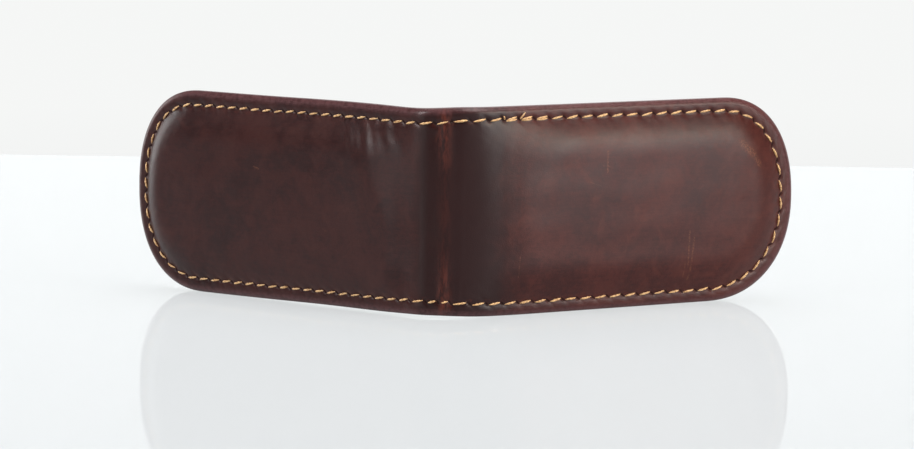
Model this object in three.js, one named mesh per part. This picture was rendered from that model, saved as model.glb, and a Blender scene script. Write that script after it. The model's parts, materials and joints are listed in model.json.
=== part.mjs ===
// A leather magnetic money clip: two padded leather panels joined by a flexible spine.
// It stands on its long edge, half open like a book. Units are millimetres, +Z runs up along the fold,
// the finished outer side of the fold faces -Y, and the clip opens towards +Y.

import * as THREE from "three";

// ---- Driving dimensions ----------------------------------------------------------------------------
const HEIGHT = 47; // across the strip, along the fold
const HALF_LENGTH = 93; // from the middle of the fold to a panel's rounded end, along the leather
const REST_BEND = THREE.MathUtils.degToRad(71); // how far the strip is folded from flat
const SPINE_WIDTH = 6.2; // between the two fold axes
const FOLD_GAP = 0.4; // from a fold axis to the leather on either side of it
const LINING_LEAN = 1; // run over rise of the lining's edges at a fold, which lean back to let it close

const LEATHER = 1.2; // thickness of each leather layer
const BOND = 0.2; // bond line between the two layers
const OUTER_RISE = 2.0; // how far the outer pad stands above the flat margin
const INNER_RISE = 1.6; // the same on the lining side
const MARGIN = 3.8; // flat stitched margin, from the cut edge to the foot of the pad
const SLOPE = 5.2; // width of the pad's rounded shoulder
const FOLD_MARGIN = 2.4; // flat leather between the fold axis and the foot of the pad
const PAD_CORNER = 4; // corner radius of the pad beside the fold
const EDGE_CORNER = 0.2; // corner radius of the leather beside the fold
const HOLLOW_INSET = 0.4; // how much smaller than the pad the hollow under it is

const SEAM_INSET = 2.9; // stitch line from the cut edge
const THREAD_RADIUS = 0.25;
const THREAD_CLEARANCE = 0.15;

const FOAM = 0.7; // thickness of the soft sheet under the outer leather
const BOARD = 2.0; // thickness of the magnet carrier and of its magnets
const CLEARANCE = 0.3; // between any two of the layers inside a pad
const MAGNET = { length: 22, width: 13, corner: 1 };
const MAGNET_CENTRES = [28, 62]; // distance from the fold axis

// Each rounded end is a superellipse quarter: how far it reaches along the panel, and its exponent.
const ENDS = {
  left: { lower: { reach: 21.3, power: 2.23 }, upper: { reach: 19.9, power: 2.31 } },
  right: { lower: { reach: 24.0, power: 2.1 }, upper: { reach: 20.0, power: 2.26 } },
};

const END_STEPS = 12; // facets of a quarter end
const FOLD_CORNER_STEPS = 3;
const BOX_CORNER_STEPS = 3;
const THREAD_SIDES = 6;
const THREAD_STEPS = 54;

// ---- Derived sizes ---------------------------------------------------------------------------------
const PANEL_LENGTH = HALF_LENGTH - SPINE_WIDTH / 2;
const SKIN = BOND / 2 + LEATHER; // outer face of either leather layer on the margin
const THREAD_LINE = SKIN + THREAD_CLEARANCE + THREAD_RADIUS; // middle of the thread

// ---- Materials -------------------------------------------------------------------------------------
const leather = (color, roughness) =>
  new THREE.MeshStandardMaterial({ color, roughness, metalness: 0 });
const outerLeather = leather(0x4a2420, 0.42);
const liningLeather = leather(0x55291f, 0.55);
const waxedThread = leather(0xd09a58, 0.6);
const foamSheet = leather(0x2b2b2d, 0.95);
const fibreBoard = leather(0x9a7b55, 0.9);
const nickelPlate = new THREE.MeshStandardMaterial({ color: 0xb9bcc0, roughness: 0.28, metalness: 1 });

function named(name, geometry, material) {
  const mesh = new THREE.Mesh(geometry, material);
  mesh.name = name;
  return mesh;
}

// ---- Outlines --------------------------------------------------------------------------------------

/** Points of a superellipse quarter round a far corner, from the straight edge to the tip. */
function endQuarter(end, inset, rising) {
  const points = [];
  const reach = end.reach - inset;
  const half = HEIGHT / 2 - inset;
  for (let i = 0; i <= END_STEPS; i++) {
    const angle = (Math.PI / 2) * (i / END_STEPS);
    const along = PANEL_LENGTH - end.reach + reach * Math.sin(angle) ** (2 / end.power);
    const across = half * Math.cos(angle) ** (2 / end.power);
    points.push(new THREE.Vector2(along, HEIGHT / 2 + (rising ? -across : across)));
  }
  return points;
}

/**
 * A panel's outline in its own plane: x runs from the fold axis to the rounded end, y is height.
 * It goes round counter-clockwise, with the same number of points at any inset.
 */
function panelOutline(ends, inset, foldInset, foldRadius) {
  const corner = (centreX, centreY, from) => {
    const points = [];
    for (let i = 0; i <= FOLD_CORNER_STEPS; i++) {
      const angle = from + (Math.PI / 2) * (i / FOLD_CORNER_STEPS);
      points.push(
        new THREE.Vector2(centreX + foldRadius * Math.cos(angle), centreY + foldRadius * Math.sin(angle)),
      );
    }
    return points;
  };
  const nearX = foldInset + foldRadius;
  return [
    ...corner(nearX, inset + foldRadius, Math.PI),
    ...endQuarter(ends.lower, inset, true),
    ...endQuarter(ends.upper, inset, false).reverse().slice(1),
    ...corner(nearX, HEIGHT - inset - foldRadius, Math.PI / 2),
  ];
}

// ---- Solids of a panel -----------------------------------------------------------------------------
// In a panel's own frame x runs away from the fold axis, z is up, and -y is the finished outer side.
// A "level" is one closed contour at a height w above the bond line, towards the outer side.

/** One closed solid through a list of {contour, w}, with a flat cap on its first and last contour. */
function loft(levels) {
  const count = levels[0].contour.length;
  const positions = levels.flatMap(({ contour, w }) => contour.flatMap((p) => [p.x, -w, p.y]));
  const index = [];
  for (let level = 0; level + 1 < levels.length; level++)
    for (let i = 0; i < count; i++) {
      const a = level * count + i;
      const b = level * count + ((i + 1) % count);
      index.push(a, b, b + count, a, b + count, a + count);
    }
  const capOf = (level) => THREE.ShapeUtils.triangulateShape(levels[level].contour, []);
  const last = levels.length - 1;
  for (const [a, b, c] of capOf(0)) index.push(a, c, b);
  for (const [a, b, c] of capOf(last)) index.push(last * count + a, last * count + b, last * count + c);
  const geometry = new THREE.BufferGeometry();
  geometry.setAttribute("position", new THREE.Float32BufferAttribute(positions, 3));
  geometry.setIndex(index);
  return geometry;
}

/** A flat plate of a shape, from w0 to w1 above the bond line. */
function plate(shape, w0, w1) {
  const geometry = new THREE.ExtrudeGeometry(shape, { depth: w1 - w0, bevelEnabled: false });
  return geometry.translate(0, 0, w0).rotateX(Math.PI / 2);
}

/** The pad's contour a given distance up its shoulder, 0 at the foot and 1 at the flat top. */
function padContour(ends, share, extra = 0) {
  const inset = MARGIN + SLOPE * share + extra;
  return panelOutline(ends, inset, FOLD_MARGIN + SLOPE * share + extra, PAD_CORNER);
}

/** Height of the rounded shoulder at a share of its width: it leaves the margin and meets the top softly. */
const shoulder = (share) => 0.5 - 0.5 * Math.cos(Math.PI * share);
const SHOULDER_SHARES = [0, 0.2, 0.45, 0.7, 1];

/** One moulded leather layer: a flat margin round a raised pad, hollow underneath. */
function mouldedLayer(ends, rise, lean) {
  const edge = (w) => ({ contour: panelOutline(ends, 0, FOLD_GAP + lean * w, EDGE_CORNER), w });
  const inside = SHOULDER_SHARES.map((share) => ({
    contour: padContour(ends, share, HOLLOW_INSET),
    w: BOND / 2 + rise * shoulder(share),
  })).reverse();
  const outside = SHOULDER_SHARES.map((share) => ({
    contour: padContour(ends, share),
    w: SKIN + rise * shoulder(share),
  }));
  return loft([...inside, edge(BOND / 2), edge(SKIN), ...outside]);
}

/** The soft sheet that rounds the outer pad, cut a little smaller than the hollow it lies in. */
function foamPad(ends) {
  const top = BOND / 2 + OUTER_RISE - CLEARANCE;
  return loft([
    { contour: padContour(ends, 1, 2 * CLEARANCE), w: top - FOAM },
    { contour: padContour(ends, 1, 3 * CLEARANCE), w: top },
  ]);
}

const boardTop = BOND / 2 + OUTER_RISE - 2 * CLEARANCE - FOAM;

/** The outline of a box with rounded corners, counter-clockwise. */
function roundedBox(centreX, centreZ, length, width, radius) {
  const corners = [
    [1, -1],
    [1, 1],
    [-1, 1],
    [-1, -1],
  ];
  return corners.flatMap(([sideX, sideZ], quarter) =>
    Array.from({ length: BOX_CORNER_STEPS + 1 }, (_, i) => {
      const angle = (Math.PI / 2) * (quarter - 1 + i / BOX_CORNER_STEPS);
      const x = centreX + sideX * (length / 2 - radius) + radius * Math.cos(angle);
      return new THREE.Vector2(x, centreZ + sideZ * (width / 2 - radius) + radius * Math.sin(angle));
    }),
  );
}

/** The stiff board between the two leathers, with a window for each magnet. */
function magnetBoard(ends) {
  const shape = new THREE.Shape(padContour(ends, 1, 3 * CLEARANCE));
  shape.holes = MAGNET_CENTRES.map((x) => {
    const grown = 2 * CLEARANCE;
    return new THREE.Path(
      roundedBox(x, HEIGHT / 2, MAGNET.length + grown, MAGNET.width + grown, MAGNET.corner),
    );
  });
  return plate(shape, boardTop - BOARD, boardTop);
}

function magnet(x) {
  const outline = roundedBox(x, HEIGHT / 2, MAGNET.length, MAGNET.width, MAGNET.corner);
  return plate(new THREE.Shape(outline), boardTop - BOARD, boardTop);
}

/** A round thread along a path. */
function thread(path, steps) {
  const section = new THREE.Shape(
    Array.from({ length: THREAD_SIDES }, (_, i) => {
      const angle = (2 * Math.PI * i) / THREAD_SIDES;
      return new THREE.Vector2(THREAD_RADIUS * Math.cos(angle), THREAD_RADIUS * Math.sin(angle));
    }),
  );
  return new THREE.ExtrudeGeometry(section, { steps, extrudePath: path, bevelEnabled: false });
}

/** The seam of one side of a panel: it runs round the margin, and starts and ends beside the fold. */
function seamThread(ends, foldInset) {
  const round = panelOutline(ends, SEAM_INSET, foldInset, 0);
  const points = round
    .filter((p, i) => i >= FOLD_CORNER_STEPS && i < round.length - FOLD_CORNER_STEPS)
    .map((p) => new THREE.Vector3(p.x, -THREAD_LINE, p.y));
  return thread(new THREE.CatmullRomCurve3(points, false, "centripetal"), THREAD_STEPS);
}

/** Everything that one panel holds, as meshes in the panel's own frame. */
function panel(side) {
  const ends = ENDS[side];
  const group = new THREE.Group();
  const liningShape = mouldedLayer(ends, INNER_RISE, LINING_LEAN);
  const lining = named(`lining_leather_${side}`, liningShape, liningLeather);
  const liningThread = named(`lining_thread_${side}`, seamThread(ends, FOLD_MARGIN), waxedThread);
  for (const mesh of [lining, liningThread]) mesh.scale.y = -1; // the same shapes, on the inner side
  group.add(
    named(`outer_leather_${side}`, mouldedLayer(ends, OUTER_RISE, 0), outerLeather),
    named(`foam_pad_${side}`, foamPad(ends), foamSheet),
    named(`magnet_board_${side}`, magnetBoard(ends), fibreBoard),
    lining,
    named(`outer_thread_${side}`, seamThread(ends, FOLD_GAP), waxedThread),
    liningThread,
  );
  MAGNET_CENTRES.forEach((x, i) => group.add(named(`magnet_${side}_${i + 1}`, magnet(x), nickelPlate)));
  return group;
}

// ---- The spine -------------------------------------------------------------------------------------

/** The spine's part of one leather layer, from w0 to w1, with sides that lean in by `lean` as |w| grows. */
function spineLeather(w0, w1, lean) {
  const half = (w) => SPINE_WIDTH / 2 - FOLD_GAP - lean * Math.abs(w);
  const section = new THREE.Shape([
    new THREE.Vector2(-half(w1), -w1),
    new THREE.Vector2(half(w1), -w1),
    new THREE.Vector2(half(w0), -w0),
    new THREE.Vector2(-half(w0), -w0),
  ]);
  return new THREE.ExtrudeGeometry(section, { depth: HEIGHT, bevelEnabled: false });
}

/** A short length of the outer seam, where it crosses the spine at a height z. */
function spineThread(z) {
  const half = SPINE_WIDTH / 2 - FOLD_GAP;
  const ends = [-half, half].map((x) => new THREE.Vector3(x, -THREAD_LINE, z));
  return thread(new THREE.LineCurve3(...ends), 1);
}

function spine() {
  const group = new THREE.Group();
  group.add(
    named("outer_spine", spineLeather(BOND / 2, SKIN, 0), outerLeather),
    named("lining_spine", spineLeather(-SKIN, -BOND / 2, LINING_LEAN), liningLeather),
    named("spine_thread_top", spineThread(HEIGHT - SEAM_INSET), waxedThread),
    named("spine_thread_bottom", spineThread(SEAM_INSET), waxedThread),
  );
  return group;
}

// ---- The clip --------------------------------------------------------------------------------------

/** A panel on its fold axis. The left one is placed in a mirrored group. */
function foldedPanel(side) {
  const half = new THREE.Group();
  half.scale.x = side === "right" ? 1 : -1;
  const axis = panel(side);
  axis.position.x = SPINE_WIDTH / 2;
  axis.rotation.z = REST_BEND / 2;
  half.add(axis);
  return half;
}

const folded = new THREE.Group();
folded.add(foldedPanel("left"), spine(), foldedPanel("right"));

// The origin is the middle of the clip's footprint, on the surface that it stands on.
const size = new THREE.Box3().setFromObject(folded, true);
folded.position.set(-(size.min.x + size.max.x) / 2, -(size.min.y + size.max.y) / 2, 0);

const moneyClip = new THREE.Group();
moneyClip.add(folded);

export default moneyClip;
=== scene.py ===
"""The looks of a leather magnetic money clip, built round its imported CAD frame.

The leather, its seams and its creases are shaped on the flat strip and then folded onto the frame:
u runs along the strip from the middle of the fold, v is height and w stands out from the bond line,
all in millimetres. Blender's own objects are in metres.
"""

import json
import math

import bpy
import numpy as np
from mathutils import Matrix, Vector


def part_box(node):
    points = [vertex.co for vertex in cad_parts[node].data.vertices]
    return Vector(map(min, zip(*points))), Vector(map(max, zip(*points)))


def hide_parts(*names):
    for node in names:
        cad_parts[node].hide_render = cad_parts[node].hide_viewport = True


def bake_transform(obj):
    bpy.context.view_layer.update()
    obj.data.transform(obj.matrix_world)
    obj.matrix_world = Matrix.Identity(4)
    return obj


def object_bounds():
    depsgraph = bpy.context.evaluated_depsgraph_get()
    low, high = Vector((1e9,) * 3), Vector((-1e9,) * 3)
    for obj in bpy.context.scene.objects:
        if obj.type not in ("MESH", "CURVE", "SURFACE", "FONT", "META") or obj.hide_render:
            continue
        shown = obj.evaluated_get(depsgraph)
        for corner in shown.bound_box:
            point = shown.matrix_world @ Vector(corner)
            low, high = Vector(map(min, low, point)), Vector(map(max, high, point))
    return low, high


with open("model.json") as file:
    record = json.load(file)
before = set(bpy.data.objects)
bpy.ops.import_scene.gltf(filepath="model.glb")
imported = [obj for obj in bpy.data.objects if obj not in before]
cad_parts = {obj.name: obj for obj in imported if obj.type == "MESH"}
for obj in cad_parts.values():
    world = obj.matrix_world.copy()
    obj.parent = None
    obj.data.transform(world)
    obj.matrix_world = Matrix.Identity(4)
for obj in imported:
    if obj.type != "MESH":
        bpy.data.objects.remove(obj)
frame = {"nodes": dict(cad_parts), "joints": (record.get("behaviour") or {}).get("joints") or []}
cad_low, cad_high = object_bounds()

MM = 0.001

# ---- Sizes read from the frame ----
joints = {joint["name"]: joint for joint in frame["joints"]}
FOLD = joints["fold_right"]
FOLD_U = FOLD["pos_m"][0] / MM  # from the middle of the spine to a fold axis
FOLD_Y = FOLD["pos_m"][1] / MM
HALF_BEND = math.radians(-FOLD["range_deg"][0])  # a panel's turn from flat, as the clip stands
HEIGHT = (cad_high.z - cad_low.z) / MM
SKIN = FOLD_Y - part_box("outer_spine")[0].y / MM  # bond line to the outer face of the margin
TIP_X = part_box("outer_leather_right")[1].x / MM
PANEL_LENGTH = (TIP_X - FOLD_U - SKIN * math.sin(HALF_BEND)) / math.cos(HALF_BEND)
TIP_REACH = FOLD_U / math.cos(HALF_BEND) + PANEL_LENGTH  # from where the two panels' planes cross

# ---- The strip's outline ----
LEFT, RIGHT = -1, 1
# Each rounded end's quarters: how far they reach along the strip, and the superellipse's exponent.
ENDS = {
    LEFT: {"lower": (21.0, 2.30), "upper": (19.9, 2.31)},
    RIGHT: {"lower": (23.6, 2.20), "upper": (20.0, 2.26)},
}
END_ZONE = 24.5  # the columns of the mesh fan out over this length
END_ARC = 46  # about as long as the outline of that zone, which sets how many columns it gets
MEDIAL_GAP = 15.0  # from the tip to the end of the middle row of the mesh
COLUMN_STEP = 0.36
FOLD_COLUMN_STEP = 0.2
FOLD_ZONE = 12.0
STRAIGHT_SAMPLES, CURVE_SAMPLES = 200, 4000  # for measuring along the outline of an end

# ---- The fold ----
# The strip turns twice, by half of the bend each time: sharply beside the left panel, then gently.
TURNS = {LEFT: (-9.5, -2.5), RIGHT: (-3.0, 10.0)}
RIDGE_U = -1.4  # a stressed ridge up the fold
RIGHT_SPARE = 0.35  # the right end is cut a little fuller than the pattern
PLAN_REACH, PLAN_STEPS = 110, 11000  # the folded line is worked out this far each way
MEETING_GAP = 0.2  # a bend starts at least this far from where the two halves meet

# How the edges stray from straight. A bump is its height, its middle along u and its half width.
BOTTOM_RISES = ((0.42, -4.0, 11.0), (0.34, -30.0, 22.0))
TOP_DIPS = ((0.20, -9.0, 7.0), (-0.10, 2.0, 4.0))
TOP_RIPPLE = (0.08, -20.0, 30.0)
TOP_RIPPLE_LENGTH = 7.5

# ---- The leather's section ----
LEATHER = 1.0
EDGE_ROUND = 1.3
PAD_FOOT, PAD_SLOPE = 3.4, 9.3  # inset of the pad's foot and the width of its shoulder
END_SLOPE = {LEFT: 5.5, RIGHT: 9.0}  # width of the shoulder at each rounded end
END_FOOT_GAP = 0.4  # from the stitch line to the pad's foot at each rounded end
SHOULDER_TOE, SHOULDER_ROUND = 1.2, 2.6  # exponents of the shoulder's curve
FOLD_SIDE = {LEFT: (6.3, 9.0), RIGHT: (3.0, 18.0)}  # foot and width of the shoulder beside the fold
FOLD_SIDE_POWER = 0.75
LOOSE_CORNER = {LEFT: 12.0, RIGHT: 8.0}  # how much wider that shoulder is at the top
LOOSE_START, LOOSE_LENGTH = 20.0, 22.0  # the height over which it widens
OUTER_RISE, LINING_RISE = 2.0, 1.6
CROWN, CROWN_LENGTH = 0.25, 12.0
BEVEL, BEVEL_WIDTH, BEVEL_POWER = 0.30, 3.0, 1.5  # the margin is pressed thinner towards the cut edge
BEVEL_START = 0.4
DETAIL_START, DETAIL_LENGTH = 1.0, 0.5  # dents and creases fade in this far from the cut edge
PAD_WAVE_START, PAD_WAVE_LENGTH = 4, 3
THINNEST_SKIN, THINNEST_BACK = 0.03, 0.02  # least distance of a layer's faces from the bond line

# Gentle unevenness: height, random seed and size.
OUTER_WAVES = ((0.05, 3, 11.0), (0.018, 5, 3.4))
LINING_WAVES = ((0.045, 13, 12.0), (0.018, 15, 3.6))
FINE_WAVE = (0.012, 9, 2.2)
WAVES_IN_SUM = 7
WAVE_SIZES = (0.6, 1.6)

# Creases on the outer side of the fold. A ripple is its height, its length and its phase.
RIDGE = (0.20, RIDGE_U, 0.85)
RIGHT_GROOVE = (0.12, RIDGE_U + 2.2, 0.9)
LEFT_GROOVE = (0.10, RIDGE_U - 2.4, 1.0)
RIDGE_SWAY = ((0.30, 9.0, 0.6), (0.12, 3.1, 0.0))
RIDGE_STRENGTH = 0.45  # halfway up, and then what is added near the top and the bottom
RIDGE_ENDS = ((0.75, 41, 6), (0.9, 6, 5.5))
LOW_FOLDS = ((0.13, -8.3, 1.1), (-0.12, -10.8, 1.2))
LOW_GATHER, LOW_GATHER_RATE = (0.04, 0.6, 2.0), 4.4
LOW_TOP, LOW_LENGTH = 13, 9  # these two fade out above this height

# The left pad's top corner: a fuller bulge, and leaning ripples under the seam.
FULL_CORNER = (0.62, -19.0, 9.5)
FULL_RISE, FULL_FALL = (14.0, 20.0), (34.0, 7.5)  # the height where it starts or ends, and how softly
RIPPLE_LEAN, RIPPLE_LEVEL = 0.35, 40
RIPPLE_SWAY = (0.9, 4.1, 0.0)
RIPPLES = ((0.065, 5.3, 0.0), (0.035, 2.9, 1.0))
RIPPLE_U, RIPPLE_V = (-18.0, 8.0), (39.5, 3.6)  # middle and half width of the rippled place

# Gathers up the inside of the fold, on the lining.
GATHER, GATHER_RATE = (0.12, 0, 3.6), 3.4
GATHER_SWAY = (0.5, 7.0, 0.0)

# ---- The seam ----
PITCH = {LEFT: 3.62, RIGHT: 4.02}
# Inset of the stitch line from the cut edge, along the top, the bottom and round the end.
SEAM = {
    LEFT: {"upper": 3.3, "lower": 3.15, "end": 3.05},
    RIGHT: {"upper": 2.9, "lower": 2.95, "end": 3.7},
}
SHORT_STITCH = 2.6  # the last two stitches of the left half, at the bottom of the fold
SHORT_STITCHES = 2
SEAM_PROBE = 0.2  # the seam's direction is measured this far each way
THREAD_RADIUS = 0.245
STITCH_SLANT = 0.50  # sideways step from one needle hole to the next
STITCH_GAP = 0.95  # leather that shows between two stitches
GAP_LIMIT = 0.35  # and its largest share of a short stitch
SLIT_SLANT = 0.85  # the needle holes are slits that lean the other way

# What the thread does to the leather: depth, and how far a dent spreads along and across the seam.
NEEDLE_HOLE = (0.20, 0.32, 0.42)
PULLED_LEATHER = (0.10, 0.85, 1.1)
PULLED_ASIDE = 0.3
SEAM_GROOVE = (0.12, 0, 0.7)  # its depth, its middle and its half width across the seam


def smooth(t):
    """0 below 0, 1 above 1 and a soft step between."""
    t = np.clip(t, 0.0, 1.0)
    return t * t * (3 - 2 * t)


def bump(x, centre, width):
    return np.exp(-(((x - centre) / width) ** 2))


def raised(x, shape):
    """A bump given as its height, middle and half width."""
    height, centre, width = shape
    return height * bump(x, centre, width)


def ripple(x, shape):
    """A sine wave given as its height, its length over 2 pi, and its phase."""
    height, length, phase = shape
    return height * np.sin(x / length + phase)


# ---- Folding the strip ----


def heading(u):
    """Direction of the strip in plan."""
    turned = sum(smooth((u - start) / (end - start)) for start, end in TURNS.values())
    return HALF_BEND * (turned - 1)


def plan_curve():
    """Points of the folded bond line in plan, at even steps of u, placed so that the panels are the CAD's."""
    u = np.linspace(-PLAN_REACH, PLAN_REACH, PLAN_STEPS + 1)
    middle = heading((u[1:] + u[:-1]) / 2)
    step = u[1] - u[0]
    x = np.concatenate([[0], np.cumsum(np.cos(middle) * step)])
    y = np.concatenate([[0], np.cumsum(np.sin(middle) * step)])
    c, t = math.cos(HALF_BEND), math.tan(HALF_BEND)
    cross_x = (x[0] + x[-1] + (y[0] - y[-1]) / t) / 2
    cross_y = y[-1] - (x[-1] - cross_x) * t
    x, y = x - cross_x, y - cross_y + FOLD_Y - FOLD_U * t
    reach = {LEFT: TIP_REACH + x[0] / c - u[0], RIGHT: TIP_REACH - x[-1] / c + u[-1] + RIGHT_SPARE}
    return u, x, y, reach


PLAN_U, PLAN_X, PLAN_Y, REACH = plan_curve()


def lift(u, v):
    """The edges aren't quite straight: the bottom clears the floor at the fold and along the left panel."""
    clear = sum(raised(u, rise) for rise in BOTTOM_RISES)
    dips = sum(raised(u, dip) for dip in TOP_DIPS)
    sag = dips - raised(u, TOP_RIPPLE) * np.sin(u / TOP_RIPPLE_LENGTH)
    high = smooth(v / HEIGHT)
    return clear * (1 - high) - sag * high


def fold(points):
    """Places points of the flat strip (u, v, w) on the standing clip, in metres."""
    u, v, w = points[..., 0], points[..., 1], points[..., 2]
    angle = heading(u)
    x = np.interp(u, PLAN_U, PLAN_X) + w * np.sin(angle)
    y = np.interp(u, PLAN_U, PLAN_Y) - w * np.cos(angle)
    return np.stack([x, y, v + lift(u, v)], axis=-1) * MM


# ---- Columns and rows of a leather layer ----


def lengths_along(*coordinates):
    """Distance along a line from its first point to each of its points."""
    steps = np.hypot(*(np.diff(coordinate) for coordinate in coordinates))
    return np.concatenate([[0], np.cumsum(steps)])


class Half:
    """One half of the strip, from the middle of the fold to a rounded end."""

    def __init__(self, side):
        self.side = side
        self.length = REACH[side]
        self.straight_end = self.length - END_ZONE
        near = np.arange(0, FOLD_ZONE, FOLD_COLUMN_STEP)
        far_count = int((self.straight_end - FOLD_ZONE) / COLUMN_STEP)
        far = np.linspace(FOLD_ZONE, self.straight_end, far_count)
        self.straight = np.concatenate([near, far])
        self.end_count = int(END_ARC / COLUMN_STEP)
        self.quarter = {row: self._even_angles(*ENDS[side][row]) for row in ("lower", "upper")}
        self.count = len(self.straight) + self.end_count
        share = np.arange(1, self.end_count + 1) / self.end_count
        medial_end = self.length - MEDIAL_GAP
        medial = self.straight_end + share * (medial_end - self.straight_end)
        self.medial = np.concatenate([self.straight, medial])
        self._lay_seam()

    def _end_point(self, q, inset, reach, power):
        """A point of the end at parameter q: negative on the straight edge, then the quarter's angle."""
        start = self.length - reach
        angle = np.clip(q, 0, math.pi / 2)
        curve = start + (reach - inset) * np.sin(angle) ** (2 / power)
        u = np.where(q < 0, start + q, curve)
        return u, (HEIGHT / 2 - inset) * np.cos(angle) ** (2 / power)

    def _even_angles(self, reach, power):
        """Parameters of the end's columns, evenly spaced along its outline."""
        straight = np.linspace(reach - END_ZONE, 0, STRAIGHT_SAMPLES, endpoint=False)
        curve = math.pi / 2 * smooth(np.linspace(0, 1, CURVE_SAMPLES))
        q = np.concatenate([straight, curve])
        length = lengths_along(*self._end_point(q, 0, reach, power))
        even = np.linspace(0, length[-1], self.end_count + 1)[1:]
        return np.interp(even, length, q)

    def row(self, inset, upper):
        """u and v of every column at an inset from the cut edge (a number, or one for each column)."""
        inset = np.broadcast_to(inset, (self.count,))
        name = "upper" if upper else "lower"
        split = len(self.straight)
        end_u, off = self._end_point(self.quarter[name], inset[split:], *ENDS[self.side][name])
        u = np.concatenate([self.straight, end_u])
        off = np.concatenate([HEIGHT / 2 - inset[:split], off])
        return u, HEIGHT / 2 + (off if upper else -off)

    def seam_inset(self, upper):
        """Inset of the stitch line at each column."""
        seam = SEAM[self.side]
        straight = seam["upper" if upper else "lower"]
        u, _ = self.row(0, upper)
        return straight + (seam["end"] - straight) * smooth((u - self.straight_end) / END_ZONE)

    def _lay_seam(self):
        """Distance along the seam at each column: out on the top, round the end, back on the bottom."""
        lines = [np.stack(self.row(self.seam_inset(upper), upper), -1) for upper in (True, False)]
        top, bottom = (lengths_along(*line.T) for line in lines)
        total = top[-1] + bottom[-1]
        self.seam_s = {True: top, False: total - bottom}
        self.path_s = np.concatenate([top, (total - bottom)[-2::-1]])
        self.path = np.concatenate([lines[0], lines[1][-2::-1]])
        short = [SHORT_STITCH] * SHORT_STITCHES if self.side == LEFT else []
        even = total - sum(short)
        count = round(even / PITCH[self.side])
        self.pitch = even / count
        self.holes = np.cumsum([0] + [self.pitch] * count + short)

    def stitch_at(self, s):
        """The stitch's number at a distance along the seam: whole at each needle hole."""
        return np.interp(s, self.holes, np.arange(len(self.holes)))

    def _place(self, s):
        return np.stack([np.interp(s, self.path_s, self.path[:, axis]) for axis in (0, 1)], -1)

    def seam_point(self, s):
        """u, v on the stitch line and the unit direction along it."""
        ahead = self._place(s + SEAM_PROBE) - self._place(s - SEAM_PROBE)
        return self._place(s), ahead / np.linalg.norm(ahead, axis=-1, keepdims=True)


# Rows of a skin's mesh, as insets from the cut edge: close together on the rounded edge and at the seam.
LAST_INSET = 9.2
MARGIN_INSETS = np.concatenate([
    EDGE_ROUND * (1 - np.cos(np.linspace(0, math.pi / 2, 7))),
    [1.5, 1.65, 1.85, 2.05],
    np.arange(2.2, 3.9, 0.17),
    np.linspace(4.1, LAST_INSET, 15),
])
PAD_SHARES = np.linspace(0, 1, 15)[1:] ** 1.15  # from the last inset to the middle row
# The back of a layer is coarser.
UNDER_INSETS = np.array([0.0, 1.2, 3.4, 4.6, 5.8, 7.0, 8.2, LAST_INSET])
UNDER_SHARES = np.array([0.25, 0.6, 1.0])


def sheet_rows(half, insets, shares):
    """Rows of u, v, inset, stitch number and seam offset, from the top edge down to the bottom edge."""
    rows = []
    for upper in (True, False):
        seam_inset, stitch = half.seam_inset(upper), half.stitch_at(half.seam_s[upper])
        stack = []
        for inset in insets:
            u, v = half.row(inset, upper)
            stack.append([u, v, np.full_like(u, inset), stitch, inset - seam_inset])
        edge = stack[-1]
        for share in shares:
            u = edge[0] + (half.medial - edge[0]) * share
            v = edge[1] + (HEIGHT / 2 - edge[1]) * share
            inset = edge[2] + np.hypot(u - edge[0], v - edge[1])
            stack.append([u, v, inset, stitch, inset - seam_inset])
        rows.append(np.array(stack))
    top, bottom = rows
    return np.concatenate([top, bottom[-2::-1]])  # the middle row belongs to both


# ---- Height of the leather above the bond line ----


def wave(u, v, seed, scale):
    """Gentle random unevenness, as a few sine waves in fixed random directions."""
    local = np.random.default_rng(seed)
    total = np.zeros_like(u)
    for _ in range(WAVES_IN_SUM):
        angle = local.uniform(0, math.pi)
        size = scale * local.uniform(*WAVE_SIZES)
        phase = local.uniform(0, 2 * math.pi)
        total += np.sin((u * math.cos(angle) + v * math.sin(angle)) * 2 * math.pi / size + phase)
    return total / WAVES_IN_SUM


def uneven(u, v, waves):
    return sum(height * wave(u, v, seed, scale) for height, seed, scale in waves)


def shoulder(t):
    """A pad's rise beside its foot: steep at the seam, then rounding over."""
    t = np.clip(t, 0, 1)
    return 1 - (1 - t**SHOULDER_TOE) ** SHOULDER_ROUND


def pad_height(half, u, v, inset, rise):
    """The padded bulge: rounded shoulders inside the seam and beside the fold, and a crown."""
    u = np.abs(u)
    end = smooth((u - half.straight_end) / END_ZONE)
    width = PAD_SLOPE + (END_SLOPE[half.side] - PAD_SLOPE) * end
    foot = PAD_FOOT + (SEAM[half.side]["end"] + END_FOOT_GAP - PAD_FOOT) * end
    fold_foot, fold_width = FOLD_SIDE[half.side]
    corner = LOOSE_CORNER[half.side] * smooth((v - LOOSE_START) / LOOSE_LENGTH)
    beside_fold = smooth((u - fold_foot) / (fold_width + corner)) ** FOLD_SIDE_POWER
    crown = CROWN * smooth((inset - PAD_SLOPE) / CROWN_LENGTH)
    return (rise + crown) * shoulder((inset - foot) / width) * beside_fold


def dent(along, across, shape):
    """A dent given as its depth and its spread along and across the seam."""
    depth, length, width = shape
    return depth * np.exp(-((along / length) ** 2) - (across / width) ** 2)


def needle_dents(half, stitch, d):
    """The thread pulls the leather in at each needle slit and along the stitch line."""
    along = ((stitch + 0.5) % 1.0 - 0.5) * half.pitch - SLIT_SLANT * half.side * d
    hole = dent(along, d, NEEDLE_HOLE)
    pulled = dent(along, np.abs(d) - PULLED_ASIDE, PULLED_LEATHER)
    return hole + pulled + raised(d, SEAM_GROOVE)


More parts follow.
